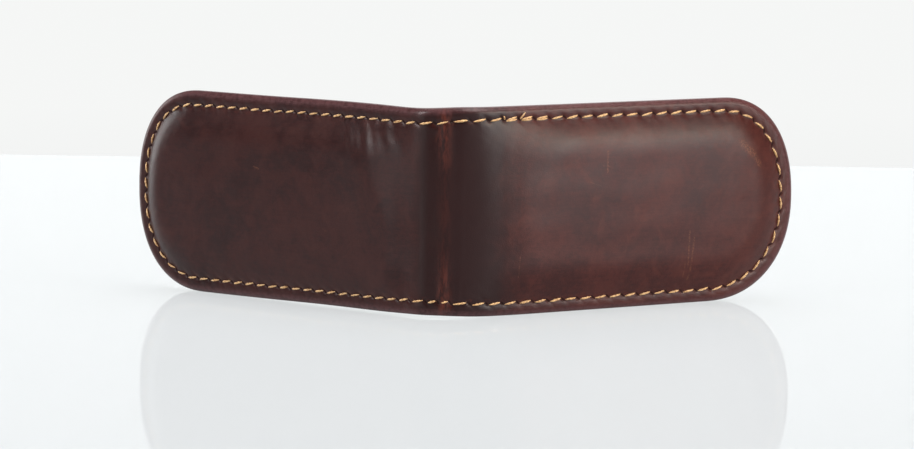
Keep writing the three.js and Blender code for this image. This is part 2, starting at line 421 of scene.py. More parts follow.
def fold_creases(u, v):
    """A stressed ridge and soft creases that run up the outer side of the fold."""
    swayed = u + sum(ripple(v, sway) for sway in RIDGE_SWAY)
    strength = RIDGE_STRENGTH + sum(raised(v, end) for end in RIDGE_ENDS)
    ridge = raised(swayed, RIDGE) * strength
    grooves = raised(swayed, RIGHT_GROOVE) * strength + raised(swayed, LEFT_GROOVE)
    folds = sum(raised(u, shape) for shape in LOW_FOLDS)
    gathers = raised(u, LOW_GATHER) * np.sin(u * LOW_GATHER_RATE)
    return ridge - grooves + smooth((LOW_TOP - v) / LOW_LENGTH) * (folds + gathers)


def puckered_corner(u, v):
    """The left pad is fuller at its top corner beside the fold, with uneven soft ripples under the seam."""
    (rise_at, rise_length), (fall_at, fall_length) = FULL_RISE, FULL_FALL
    full = raised(u, FULL_CORNER) * smooth((v - rise_at) / rise_length)
    full *= 1 - smooth((v - fall_at) / fall_length)
    bend = u + RIPPLE_LEAN * (v - RIPPLE_LEVEL) + ripple(u, RIPPLE_SWAY)
    ripples = sum(ripple(bend * 2 * math.pi, shape) for shape in RIPPLES)
    return full + bump(u, *RIPPLE_U) * bump(v, *RIPPLE_V) * ripples


def padded_margin(half, u, v, inset, rise):
    """The rounded cut edge, the flat margin and the pad inside it."""
    from_edge = np.clip(inset / EDGE_ROUND, 0, 1)
    edge = SKIN * np.sqrt(np.clip(1 - (1 - from_edge) ** 2, 0, 1))
    return edge + pad_height(half, u, v, inset, rise)


def outer_surface(half, rows):
    """w of the outer leather's skin."""
    u, v, inset, stitch, d = np.moveaxis(rows, 1, 0)
    u = u * half.side
    w = padded_margin(half, u, v, inset, OUTER_RISE)
    inner = smooth((inset - DETAIL_START) / DETAIL_LENGTH)
    pad = smooth((inset - PAD_WAVE_START) / PAD_WAVE_LENGTH)
    w -= needle_dents(half, stitch, d) * inner
    w -= BEVEL * np.clip(1 - inset / BEVEL_WIDTH, 0, 1) ** BEVEL_POWER * smooth(inset / BEVEL_START)
    w += inner * (fold_creases(u, v) + puckered_corner(u, v))
    w += pad * uneven(u, v, OUTER_WAVES)
    w += inner * uneven(u, v, [FINE_WAVE])
    return np.maximum(w, THINNEST_SKIN)


def lining_surface(half, rows):
    """w of the lining's skin, on the other side of the bond line."""
    u, v, inset, stitch, d = np.moveaxis(rows, 1, 0)
    u = u * half.side
    w = padded_margin(half, u, v, inset, LINING_RISE)
    inner = smooth((inset - DETAIL_START) / DETAIL_LENGTH)
    pad = smooth((inset - PAD_WAVE_START) / PAD_WAVE_LENGTH)
    w -= needle_dents(half, stitch, d) * inner
    w += inner * raised(u, GATHER) * np.sin(u * GATHER_RATE + ripple(v, GATHER_SWAY))
    w += pad * uneven(u, v, LINING_WAVES)
    return -np.maximum(w, THINNEST_SKIN)


# ---- Meshes of the leather ----


def layer_mesh(name, half, surface, material):
    """A closed leather layer of one half: its skin, and a back that follows it a thickness below."""
    skin = sheet_rows(half, MARGIN_INSETS, PAD_SHARES)
    back = sheet_rows(half, UNDER_INSETS, UNDER_SHARES)[::-1]
    skin_w, back_w = surface(half, skin), surface(half, back)
    outward = 1 if skin_w.mean() > 0 else -1
    back_w = outward * np.maximum(np.abs(back_w) - LEATHER, THINNEST_BACK)
    flat = []
    for rows, w in ((skin, skin_w), (back, back_w)):
        flat.append(np.stack([rows[:, 0] * half.side, rows[:, 1], w], -1))
    flat = np.concatenate(flat)  # rows x columns x 3
    seam = np.concatenate([skin[:, 3:5], back[:, 3:5]]).transpose(0, 2, 1)
    rows, columns = flat.shape[:2]
    index = np.arange(rows * columns).reshape(rows, columns)
    mirror = np.concatenate([np.arange(len(skin))[::-1], len(skin) + np.arange(len(back))[::-1]])
    first = np.minimum(np.arange(rows), mirror)
    index[:, -1] = index[first, -1]  # the tip's column is the same going up and coming down
    below = np.roll(index, -1, axis=0)
    quads = np.stack([index[:, :-1], index[:, 1:], below[:, 1:], below[:, :-1]], -1).reshape(-1, 4)
    if half.side * outward < 0:
        quads = quads[:, ::-1]
    cap = index[:, 0] if half.side * outward > 0 else index[::-1, 0]
    return build_mesh(name, flat, seam, quads, cap, material)


def build_mesh(name, flat, seam, quads, cap, material):
    """A mesh from quads and one cap, whose vertices keep their place on the flat strip as attributes."""
    used, quads = np.unique(quads, return_inverse=True)
    quads = quads.reshape(-1, 4)
    cap = np.searchsorted(used, cap)
    flat, seam = flat.reshape(-1, 3)[used], seam.reshape(-1, 2)[used]
    faces = [list(dict.fromkeys(quad)) for quad in quads.tolist()]
    faces = [face for face in faces if len(face) > 2] + [cap.tolist()]
    obj = add_folded(name, flat, faces, material)
    store(obj.data, "seam", np.column_stack([seam, np.zeros(len(seam))]))
    sharpen_cap(obj.data, cap)
    return obj


def add_folded(name, flat, faces, material):
    """A smooth object from points of the flat strip, which it keeps as an attribute."""
    mesh = bpy.data.meshes.new(name)
    mesh.from_pydata(fold(flat).tolist(), [], faces)
    store(mesh, "flat", flat)
    mesh.polygons.foreach_set("use_smooth", [True] * len(mesh.polygons))
    mesh.materials.append(material)
    obj = bpy.data.objects.new(name, mesh)
    bpy.context.scene.collection.objects.link(obj)
    return obj


def store(mesh, name, vectors):
    layer = mesh.attributes.new(name, "FLOAT_VECTOR", "POINT")
    layer.data.foreach_set("vector", np.asarray(vectors, np.float32).reshape(-1))


def sharpen_cap(mesh, cap):
    """The cut face at the middle of the fold is flat, and must not tilt the leather's own normals."""
    ends = np.empty(len(mesh.edges) * 2, np.int32)
    mesh.edges.foreach_get("vertices", ends)
    on_cap = np.isin(ends.reshape(-1, 2), cap).all(axis=1)
    sharp = mesh.attributes.new("sharp_edge", "BOOLEAN", "EDGE")
    sharp.data.foreach_set("value", on_cap)


# ---- Stitches ----
SECTION_SIDES = 10
STITCH_STEPS = 14
STITCH_BED = 0.80  # w of the thread's centre at a needle hole
STITCH_RISE = 0.50  # and how much higher it is in the middle of a stitch
ARCH_POWER = 0.5
PLY_LOBES = 0.13  # how far the two plies stand out of a round section, as a share of its radius
PLY_TURNS, PLY_TURNS_SPREAD = 1.6, 0.1
TAPER_TRIM, TAPER_POWER = 0.012, 0.95
STITCH_SEED, LINING_SEED_STEP = 20, 5
SLANT_SPREAD, SHIFT_SPREAD, RADIUS_SPREAD = 0.18, 0.04, 0.05
BACKSTITCHES = (3, 4, 5)
BACKSTITCH_STRANDS = ((1.3, 0.17, 1.0), (0.6, -0.20, 0.95))  # share of the slant, shift, share of the radius
TAILS = ((4, 1.5, 1.1), (3, 0.9, -0.5))  # hole number, upward reach and sideways lean
TAIL_BED, TAIL_RISE, TAIL_ARCH = 0.05, 0.45, 0.6  # above the margin, and the share of a half wave
TAIL_THINNER = 0.7


def across(along, other):
    """Unit vectors at right angles to a path and to another direction."""
    sideways = np.cross(along, other)
    return sideways / np.linalg.norm(sideways, axis=1, keepdims=True)


def stitch_tube(path, radius, twist):
    """A short two-ply cord along a path of the flat strip, tapering into the needle holes."""
    steps = len(path)
    along = np.gradient(path, axis=0)
    along /= np.linalg.norm(along, axis=1, keepdims=True)
    sideways = across(along, np.array([0.0, 0.0, 1.0]))
    upward = np.cross(sideways, along)
    t = np.linspace(0, 1, steps)
    trimmed = np.clip(t, TAPER_TRIM, 1 - TAPER_TRIM)
    taper = np.sqrt(np.clip(np.sin(math.pi * trimmed), 0, 1)) ** TAPER_POWER
    angles = np.linspace(0, 2 * math.pi, SECTION_SIDES, endpoint=False)
    cosines, sines = np.cos(angles)[:, None], np.sin(angles)[:, None]
    rings = []
    for i in range(steps):
        lobes = 1 + PLY_LOBES * np.cos(2 * (angles - twist * t[i]))
        r = radius * taper[i] * lobes[:, None]
        rings.append(path[i] + r * (cosines * sideways[i] + sines * upward[i]))
    return np.concatenate(rings), tube_faces(steps)


def tube_faces(steps):
    """Quads between the rings of a tube, and a cap at each end."""
    faces = []
    for i in range(steps - 1):
        for k in range(SECTION_SIDES):
            a = i * SECTION_SIDES + k
            b = i * SECTION_SIDES + (k + 1) % SECTION_SIDES
            faces.append([a, b, b + SECTION_SIDES, a + SECTION_SIDES])
    last = (steps - 1) * SECTION_SIDES
    faces.append(list(range(SECTION_SIDES))[::-1])
    faces.append([last + k for k in range(SECTION_SIDES)])
    return faces


def stitch_path(half, start, end, slant, shift, outward):
    """From one needle hole to the next: up out of the leather, along it and down again."""
    t = np.linspace(0, 1, STITCH_STEPS)
    gap = min(STITCH_GAP, GAP_LIMIT * (end - start))
    at, ahead = half.seam_point(start + gap / 2 + (end - start - gap) * t)
    aside = np.stack([-ahead[:, 1], ahead[:, 0]], -1)
    uv = at + aside * (slant * (t - 0.5) + shift)[:, None]
    w = STITCH_BED + STITCH_RISE * np.sin(math.pi * t) ** ARCH_POWER
    return np.stack([uv[:, 0] * half.side, uv[:, 1], outward * w], -1)


def strands_of(half, number, jitter, outward):
    """Slant, sideways shift and radius of a stitch's strands: two where the seam's ends overlap."""
    slant = STITCH_SLANT * (1 + SLANT_SPREAD * jitter[0]) * half.side
    if outward > 0 and half.side == RIGHT and number in BACKSTITCHES:
        return [(slant * lean, shift, THREAD_RADIUS * size) for lean, shift, size in BACKSTITCH_STRANDS]
    return [(slant, SHIFT_SPREAD * jitter[1], THREAD_RADIUS * (1 + RADIUS_SPREAD * jitter[2]))]


def stitching(name, half, outward, material):
    """All the stitches of one half and one side, as one piece."""
    local = np.random.default_rng(STITCH_SEED + half.side + LINING_SEED_STEP * outward)
    tubes = []
    for number, (start, end) in enumerate(zip(half.holes[:-1], half.holes[1:])):
        jitter = local.normal(0, 1, 4)
        twist = 2 * math.pi * (PLY_TURNS + PLY_TURNS_SPREAD * jitter[3])
        for slant, shift, radius in strands_of(half, number, jitter, outward):
            path = stitch_path(half, start, end, slant, shift, outward)
            tubes.append(stitch_tube(path, radius, twist))
    if outward > 0 and half.side == RIGHT:
        tubes += thread_tails(half)
    points, faces, offset = [], [], 0
    for tube, quads in tubes:
        if outward < 0:
            quads = [quad[::-1] for quad in quads]
        points.append(tube)
        faces += [[i + offset for i in quad] for quad in quads]
        offset += len(tube)
    return add_folded(name, np.concatenate(points), faces, material)


def thread_tails(half):
    """The cut ends of the thread stand up a little from the overlapped stitches."""
    tails = []
    t = np.linspace(0, 1, STITCH_STEPS)
    for number, reach, lean in TAILS:
        at, _ = half.seam_point(np.full(STITCH_STEPS, half.holes[number]))
        u = at[:, 0] + lean * t
        v = at[:, 1] + reach * t
        w = SKIN + TAIL_BED + TAIL_RISE * np.sin(math.pi * TAIL_ARCH * t)
        path = np.stack([u * half.side, v, w], -1)
        tails.append(stitch_tube(path, THREAD_RADIUS * TAIL_THINNER, math.pi))
    return tails


# ---- Node helpers ----
BUMP_DISTANCE = 0.0001  # metres: the relief of a material's grain


class Nodes:
    """Short names for building a material's node tree."""

    def __init__(self, name):
        self.material = bpy.data.materials.new(name)
        self.material.use_nodes = True
        self.tree = self.material.node_tree
        self.shader = self.tree.nodes["Principled BSDF"]

    def add(self, kind, inputs=None, **settings):
        node = self.tree.nodes.new(kind)
        for key, value in settings.items():
            setattr(node, key, value)
        for key, value in (inputs or {}).items():
            self.feed(node.inputs[key], value)
        return node

    def feed(self, socket, value):
        if isinstance(value, bpy.types.NodeSocket):
            self.tree.links.new(value, socket)
        else:
            socket.default_value = value

    def surface(self, inputs):
        """Sets or links the shader's own sockets."""
        for key, value in inputs.items():
            self.feed(self.shader.inputs[key], value)

    def relief(self, strength, height):
        inputs = {"Strength": strength, "Distance": BUMP_DISTANCE, "Height": height}
        return self.add("ShaderNodeBump", inputs).outputs[0]

    def math(self, operation, a, b=0.0, c=0.0, clamp=False):
        node = self.add("ShaderNodeMath", {0: a, 1: b, 2: c}, operation=operation, use_clamp=clamp)
        return node.outputs[0]

    def times(self, a, b):
        return self.math("MULTIPLY", a, b)

    def times_plus(self, a, b, c, clamp=False):
        return self.math("MULTIPLY_ADD", a, b, c, clamp)

    def minus(self, a, b):
        return self.math("SUBTRACT", a, b)

    def size(self, a):
        return self.math("ABSOLUTE", a)

    def attribute(self, name):
        return self.add("ShaderNodeAttribute", attribute_name=name).outputs["Vector"]

    def axes(self, vector):
        return self.add("ShaderNodeSeparateXYZ", {0: vector}).outputs

    def noise(self, vector, scale, detail, roughness, distortion=0.0):
        inputs = {
            "Vector": vector,
            "Scale": scale,
            "Detail": detail,
            "Roughness": roughness,
            "Distortion": distortion,
        }
        return self.add("ShaderNodeTexNoise", inputs).outputs["Fac"]

    def ramp(self, value, low, high, to_low=0.0, to_high=1.0):
        inputs = {"Value": value, "From Min": low, "From Max": high, "To Min": to_low, "To Max": to_high}
        return self.add("ShaderNodeMapRange", inputs, interpolation_type="SMOOTHSTEP").outputs[0]

    def blend(self, share, a, b):
        node = self.add("ShaderNodeMix", data_type="RGBA")
        for socket, value in zip((node.inputs[0], node.inputs[6], node.inputs[7]), (share, a, b)):
            self.feed(socket, (*value, 1) if isinstance(value, tuple) else value)
        return node.outputs[2]

    def stretch(self, vector, scales):
        return self.add("ShaderNodeVectorMath", {0: vector, 1: scales}, operation="MULTIPLY").outputs[0]


# ---- Leather ----
DARK_OIL = (0.030, 0.0052, 0.0050)
BROWN = (0.074, 0.0145, 0.0108)
# Lighter, redder tan: real wear in random patches, and painted light on the right end.
WEAR_AND_LIT_TAN = (0.105, 0.0290, 0.0180)
# Painted shade: darker colours for the fold and the left panel.
FOLD_RED_SHADE = (0.016, 0.0030, 0.0029)
CHARCOAL_SHADE = (0.018, 0.0046, 0.0048)
STRESSED = (0.140, 0.030, 0.018)
SCRATCHED = (0.27, 0.100, 0.045)
# The cut edge's coat, made lighter as painted sheen from the floor and the light above.
EDGE_PAINT_AND_SHEEN = (0.066, 0.0250, 0.0280)
# Painted sheen: a lighter, pinker margin outside the stitch line.
MARGIN_SHEEN = (0.120, 0.0500, 0.0540)
# Painted shade inside the needle slits.
SLIT_SHADE = (0.016, 0.0050, 0.0042)

# Noise over the flat strip: scale per millimetre, detail, roughness and distortion.
CLOUD = (0.045, 4.0, 0.6, 0.6)
PATCH = (0.17, 5.0, 0.62, 0.9)
FINE = (1.0, 4.0, 0.68)
SPECK = (3.4, 3.0, 0.7)
STREAK = (1.0, 3.0, 0.6)
CREASE = (1.0, 4.0, 0.65)
PORE = (4.2, 4.0, 0.7)
SCRATCH_GRAIN = (2.6, 4.0, 0.75)
STREAK_STRETCH = (0.16, 2.1, 0.5)
CREASE_STRETCH = (1.1, 0.28, 0.3)
# How much each one counts in the leather's tone.
CLOUD_SHARE, PATCH_SHARE, FINE_SHARE, SPECK_SHARE, STREAK_SHARE = 0.55, 0.45, 0.34, 0.30, 0.22

# Ramps: the values where each starts and ends, and where it isn't 0 and 1, what it gives there.
TONE_RAMP = (0.70, 1.14)
WORN_RAMP, WORN_SHARE = (0.52, 0.80), 0.30
PULLED_RAMP, PULLED_SHARE = (0.44, 0.66), 0.30
# Painted light: the right end is made lighter and redder, for the light that falls on it from the right.
RIGHT_END_LIGHT_RAMP = (66.0, 80.0, 0.0, 0.14)  # along u
# Edge coat with painted sheen, down the rounded cut edge.
EDGE_RAMP, EDGE_SHARE = (0.75, 0.25), 0.8  # down the rounded cut edge
# Painted sheen on the margin between the stitch line and the cut edge.
MARGIN_SHEEN_RAMP = (-1.2, -2.4)  # outward from the stitch line
MARGIN_SHEEN_SHARE = (0.34, 0.60, 0.22, 0.58)
SCRATCH_GRAIN_RAMP, SCRATCH_SHARE = (0.44, 0.62), 0.75
SCRATCH_SOFT, SCRATCH_CORE = 2.2, 0.3  # shares of a scratch's half width

# Painted shade on the fold and on the left panel: both are given darker colours.
FOLD_LEFT_RAMP, FOLD_RIGHT_RAMP = (-8.6, -5.6), (19.0, 8.0)
FOLD_PATCHINESS, FOLD_PATCH_SHIFT = 9.0, 4.5
FOLD_SHADE_SHARE = 0.94
FOLD_TO_RIGHT_RAMP = (-2.5, 1.5)
# Painted shade: the left panel is darkened towards charcoal, as it gets less light than the right.
LEFT_SHADE_RAMP = (-5.0, -8.5)
LEFT_SHADE_SHARE = (0.98, 0.74, 0.60, 0.85)

# The stressed ridge: its wander, half width and grain, and its strength by distance from mid height, which is
# painted highlight near the top and the bottom.
RIDGE_PATCHINESS, RIDGE_SHIFT = 1.6, -0.8
RIDGE_RAMP, RIDGE_GRAIN_RAMP = (2.3, 0.1), (0.36, 0.66)
RIDGE_MIDDLE_V = 23.0
# Painted highlight: the ridge's colour grows stronger away from mid height.
RIDGE_HIGHLIGHT_BY_HEIGHT = (7.0, 19.0, 0.14, 0.60)

# Needle slits, and the pulled leather round them: half width across, then along or off the seam.
SLIT_WIDTH, SLIT_LENGTH, SLIT_RAMP = 0.34, 0.46, (1.6, 0.2)
PULL_LENGTH, PULL_WIDTH, PULL_RAMP = 1.0, 0.75, (1.3, 0.1)
PULL_OFFSET = 0.55
# Painted shade in the needle slits, and how much rougher they are.
SLIT_SHADE_SHARE, SLIT_ROUGHER = 0.85, 0.65

LEATHER_ROUGHNESS, ROUGHNESS_BY_FINE, ROUGHNESS_BY_PATCH = 0.20, 0.12, 0.12
LEATHER_SPECULAR = 0.27
PEBBLE_SCALE, PEBBLE_RAMP = 2.3, (0.0, 0.30)
PEBBLE_SHARE, PORE_SHARE, FINE_RELIEF_SHARE = 0.25, 0.7, 0.9
LEATHER_RELIEF = 0.22

# Scratches and scuffs on the outer side: start and end (u, v), half width and strength.
SCRATCHES = [
    ((38.4, 36.2), (38.2, 31.4), 0.15, 0.70),
    ((36.9, 33.0), (39.6, 32.6), 0.10, 0.45),
    ((60.8, 17.0), (60.6, 8.6), 0.15, 0.65),
    ((62.1, 15.5), (61.2, 5.6), 0.16, 0.65),
    ((59.9, 10.0), (59.7, 6.5), 0.11, 0.45),
    ((75.2, 36.6), (78.8, 33.6), 0.60, 0.75),
    ((77.8, 35.2), (80.4, 31.2), 0.45, 0.65),
    ((15.5, 13.5), (15.2, 8.8), 0.12, 0.35),
    ((33.0, 29.6), (36.5, 28.4), 0.10, 0.22),
    ((-54.2, 30.8), (-52.6, 30.4), 0.17, 0.50),
    ((-33.0, 18.0), (-31.6, 17.2), 0.10, 0.25),
]


def segment_distance(n, u, v, start, end):
    """Distance of a point of the flat strip from a straight segment."""
    length = math.hypot(end[0] - start[0], end[1] - start[1])
    du, dv = (end[0] - start[0]) / length, (end[1] - start[1]) / length
    pu, pv = n.minus(u, start[0]), n.minus(v, start[1])
    along = n.times_plus(pu, du, n.times(pv, dv))
    held = n.math("MINIMUM", n.math("MAXIMUM", along, 0.0), length)
    off = n.size(n.times_plus(pu, -dv, n.times(pv, du)))
    return n.math("ADD", off, n.size(n.minus(along, held)))


def scratch_mask(n, flat, u, v):
    """How scratched the leather is: the strongest of the listed marks, broken up by noise."""
    grain = n.ramp(n.noise(flat, *SCRATCH_GRAIN), *SCRATCH_GRAIN_RAMP)
    total = 0.0
    for start, end, width, strength in SCRATCHES:
        distance = segment_distance(n, u, v, start, end)
        mark = n.ramp(distance, width * SCRATCH_SOFT, width * SCRATCH_CORE)
        total = n.math("MAXIMUM", total, n.times(mark, strength))
    return n.times(total, grain)


def squared(n, value, size):
    scaled = n.math("DIVIDE", value, size)
    return n.times(scaled, scaled)


def seam_masks(n, half):
    """The needle slits with their painted shade, the leather that the thread has pulled round them, and the
    margin's painted sheen.
    """
    stitch, d, _ = n.axes(n.attribute("seam"))
    phase = n.minus(n.math("FRACT", n.math("ADD", stitch, 0.5)), 0.5)
    along = n.times(phase, half.pitch)
    across_slit = n.times_plus(d, -SLIT_SLANT * half.side, along)
    slit = n.math("ADD", squared(n, across_slit, SLIT_WIDTH), squared(n, d, SLIT_LENGTH))
    beside = n.minus(d, PULL_OFFSET)
    pull = n.math("ADD", squared(n, along, PULL_LENGTH), squared(n, beside, PULL_WIDTH))
    return n.ramp(slit, *SLIT_RAMP), n.ramp(pull, *PULL_RAMP), n.ramp(d, *MARGIN_SHEEN_RAMP)


def leather_tone(n, flat):
    """Uneven dye and oil, from broad clouds down to fine specks and faint streaks along the strip."""
    cloud, patch = n.noise(flat, *CLOUD), n.noise(flat, *PATCH)
    fine, speck = n.noise(flat, *FINE), n.noise(flat, *SPECK)
    streak = n.noise(n.stretch(flat, STREAK_STRETCH), *STREAK)
    tone = n.times_plus(cloud, CLOUD_SHARE, n.times(patch, PATCH_SHARE))
    tone = n.times_plus(fine, FINE_SHARE, tone)
    tone = n.times_plus(speck, SPECK_SHARE, tone)
    return n.times_plus(streak, STREAK_SHARE, tone), patch, fine, speck


def ridge_stress_and_highlight(n, flat, u, v, patch):
    """The stressed ridge up the fold; its greater strength near the top and the bottom is painted highlight.
    """
    crease = n.noise(n.stretch(flat, CREASE_STRETCH), *CREASE)
    wander = n.times_plus(patch, RIDGE_PATCHINESS, RIDGE_SHIFT - RIDGE_U)
    off = n.size(n.math("ADD", u, wander))
    ridge = n.times(n.ramp(off, *RIDGE_RAMP), n.ramp(crease, *RIDGE_GRAIN_RAMP))
    return n.times(ridge, n.ramp(n.size(n.minus(v, RIDGE_MIDDLE_V)), *RIDGE_HIGHLIGHT_BY_HEIGHT))


def fold_shade_mask(n, u, patch):
    """Where the fold's painted shade lies: on the fold and a little way onto the right panel."""
    blurred = n.times_plus(patch, FOLD_PATCHINESS, n.minus(u, FOLD_PATCH_SHIFT))
    return n.times(n.ramp(u, *FOLD_LEFT_RAMP), n.ramp(blurred, *FOLD_RIGHT_RAMP))


def painted_shade_and_light(n, color, u, tone, patch):
    """Painted shade on the outer leather's fold and left panel, and painted light on its right end."""
    # Painted shade on the fold: redder on its left, charcoal on its right.
    fold_shade_color = n.blend(n.ramp(u, *FOLD_TO_RIGHT_RAMP), FOLD_RED_SHADE, CHARCOAL_SHADE)
    color = n.blend(n.times(fold_shade_mask(n, u, patch), FOLD_SHADE_SHARE), color, fold_shade_color)
    # Painted light on the right end.
    color = n.blend(n.ramp(u, *RIGHT_END_LIGHT_RAMP), color, WEAR_AND_LIT_TAN)
    # Painted shade over the left panel.
    left_shade = n.times(n.ramp(u, *LEFT_SHADE_RAMP), n.ramp(tone, *LEFT_SHADE_SHARE))
    return n.blend(left_shade, color, CHARCOAL_SHADE)


def leather_relief(n, flat, fine):
    """Pebbled grain, pores and fine wrinkles."""
    inputs = {"Vector": flat, "Scale": PEBBLE_SCALE, "Randomness": 1.0}
    cells = n.add("ShaderNodeTexVoronoi", inputs, feature="DISTANCE_TO_EDGE").outputs["Distance"]
    small = n.times_plus(n.noise(flat, *PORE), PORE_SHARE, n.times(fine, FINE_RELIEF_SHARE))
    return n.relief(LEATHER_RELIEF, n.times_plus(n.ramp(cells, *PEBBLE_RAMP), PEBBLE_SHARE, small))


def leather(name, half, lining=False):
    """Oiled pull-up leather, unevenly dark, lighter and redder where it is stressed or rubbed. Painted shade
    darkens the fold, the left panel and the needle slits; painted light brightens the right end, the margin,
    the cut edge and the ridge's ends.
    """
    n = Nodes(name)
    flat = n.attribute("flat")
    u, v, w = n.axes(flat)
    tone, patch, fine, speck = leather_tone(n, flat)
    slit, pulled, margin = seam_masks(n, half)
    color = n.blend(n.ramp(tone, *TONE_RAMP), DARK_OIL, BROWN)
    color = n.blend(n.times(n.ramp(patch, *WORN_RAMP), WORN_SHARE), color, WEAR_AND_LIT_TAN)
    red = n.times(n.times(pulled, n.ramp(speck, *PULLED_RAMP)), PULLED_SHARE)
    if not lining:
        # The ridge's pull-up colour, with painted highlight near the top and the bottom.
        red = n.math("MAXIMUM", red, ridge_stress_and_highlight(n, flat, u, v, patch))
        color = painted_shade_and_light(n, color, u, tone, patch)
    color = n.blend(red, color, STRESSED)
    if not lining:
        color = n.blend(n.times(scratch_mask(n, flat, u, v), SCRATCH_SHARE), color, SCRATCHED)
    # Painted sheen on the margin.
    color = n.blend(n.times(margin, n.ramp(fine, *MARGIN_SHEEN_SHARE)), color, MARGIN_SHEEN)
    # Edge coat, lightened as painted sheen.
    color = n.blend(n.times(n.ramp(n.size(w), *EDGE_RAMP), EDGE_SHARE), color, EDGE_PAINT_AND_SHEEN)
    # Painted shade in the needle slits.
    color = n.blend(n.times(slit, SLIT_SHADE_SHARE), color, SLIT_SHADE)
    rough = n.times_plus(fine, ROUGHNESS_BY_FINE, LEATHER_ROUGHNESS)
    rough = n.times_plus(patch, ROUGHNESS_BY_PATCH, rough)
    n.surface({
        "Base Color": color,
        "Roughness": n.times_plus(slit, SLIT_ROUGHER, rough, clamp=True),
        "Specular IOR Level": LEATHER_SPECULAR,
        "Normal": leather_relief(n, flat, fine),
    })
    return n.material


# ---- Thread and hidden parts ----
THREAD_DARK, THREAD_LIGHT = (0.32, 0.120, 0.032), (0.89, 0.57, 0.27)
FIBRE, THREAD_TONE = (7.0, 3.0, 0.7), (2.6, 3.0, 0.6)
FIBRE_SHARE, THREAD_TONE_SHARE = 0.5, 0.5
THREAD_RAMP = (0.36, 0.60)
THREAD_ROUGHNESS, THREAD_SPECULAR, THREAD_RELIEF = 0.42, 0.6, 0.5

PLAIN_DETAIL, PLAIN_NOISE_ROUGHNESS = 5.0, 0.65
PLAIN_RAMP = (0.35, 0.65)
PLAIN_ROUGHNESS_SPREAD = 0.2
PLAIN_RELIEF = 0.2
# Each hidden material: its two tones, noise scale per metre, roughness and how metallic it is.
FOAM = ((0.012, 0.012, 0.014), (0.03, 0.03, 0.033), 900, 0.8, 0.0)
FIBRE_BOARD = ((0.30, 0.20, 0.11), (0.46, 0.33, 0.20), 500, 0.75, 0.0)
NICKEL = ((0.56, 0.55, 0.53), (0.66, 0.65, 0.63), 300, 0.18, 1.0)


def waxed_thread():
    """Golden tan thread whose fibres break up its shine."""
    n = Nodes("waxed_thread")
    flat = n.attribute("flat")
    fibre = n.noise(flat, *FIBRE)
    tone = n.times_plus(n.noise(flat, *THREAD_TONE), THREAD_TONE_SHARE, n.times(fibre, FIBRE_SHARE))
    n.surface({
        "Base Color": n.blend(n.ramp(tone, *THREAD_RAMP), THREAD_DARK, THREAD_LIGHT),
        "Roughness": THREAD_ROUGHNESS,
        "Specular IOR Level": THREAD_SPECULAR,
        "Normal": n.relief(THREAD_RELIEF, fibre),
    })
    return n.material


def plain(name, low, high, scale, roughness, metallic):
    """A hidden inner part's material: two tones of one colour with a fine bump."""
    n = Nodes(name)
    at = n.add("ShaderNodeTexCoord").outputs["Object"]
    tone = n.noise(at, scale, PLAIN_DETAIL, PLAIN_NOISE_ROUGHNESS)
    n.surface({
        "Base Color": n.blend(n.ramp(tone, *PLAIN_RAMP), low, high),
        "Roughness": n.times_plus(tone, PLAIN_ROUGHNESS_SPREAD, roughness),
        "Metallic": metallic,
        "Normal": n.relief(PLAIN_RELIEF, tone),
    })
    return n.material


# ---- The camera ----
CAMERA_AZIMUTH = math.radians(4.42)
CAMERA_ELEVATION = math.radians(6.23)
CAMERA_ROLL = math.radians(-0.44)
CAMERA_DISTANCE = 0.900
CAMERA_ASIDE = 0.00282  # of the fold's middle from the line of sight
CAMERA_AIM_Z = 0.02123
LENS, SENSOR = 160.07, 36.0
CLIP_END = 50


def add_camera():
    a, e = CAMERA_AZIMUTH, CAMERA_ELEVATION
    back = Vector((math.sin(a) * math.cos(e), -math.cos(a) * math.cos(e), math.sin(e)))
    right = Vector((math.cos(a), math.sin(a), 0))
    up = back.cross(right)
    c, s = math.cos(CAMERA_ROLL), math.sin(CAMERA_ROLL)
    rolled_right, rolled_up = right * c - up * s, right * s + up * c
    aim = Vector((0, (FOLD_Y - SKIN) * MM, CAMERA_AIM_Z)) + right * CAMERA_ASIDE
    data = bpy.data.cameras.new("camera")
    data.lens, data.sensor_width, data.clip_end = LENS, SENSOR, CLIP_END
    camera = bpy.data.objects.new("camera", data)
    turn = Matrix((rolled_right, rolled_up, back)).transposed().to_4x4()
    camera.matrix_world = Matrix.Translation(aim + back * CAMERA_DISTANCE) @ turn
    bpy.context.scene.collection.objects.link(camera)
    bpy.context.scene.camera = camera


# ---- Floor and light ----
TABLE_BACK = 0.376  # from the fold to the table's far edge
TABLE_REACH = 6.0  # to its other edges
TABLE_LOOK = {
    "Base Color": (0.103, 0.106, 0.112, 1),
    "Emission Color": (0.950, 0.985, 0.990, 1),
    "Emission Strength": 0.58,
    "Subsurface Weight": 0.8,
    "Subsurface Radius": (1.0, 1.0, 1.0),
    "Subsurface Scale": 0.004,
    "Roughness": 0.02,
    "IOR": 1.045,
}

LIGHT_AIM = (0, 0, 0.02)
WHITE, WARM, SLIGHTLY_WARM = (1, 1, 1), (1.0, 0.92, 0.80), (1.0, 0.97, 0.93)
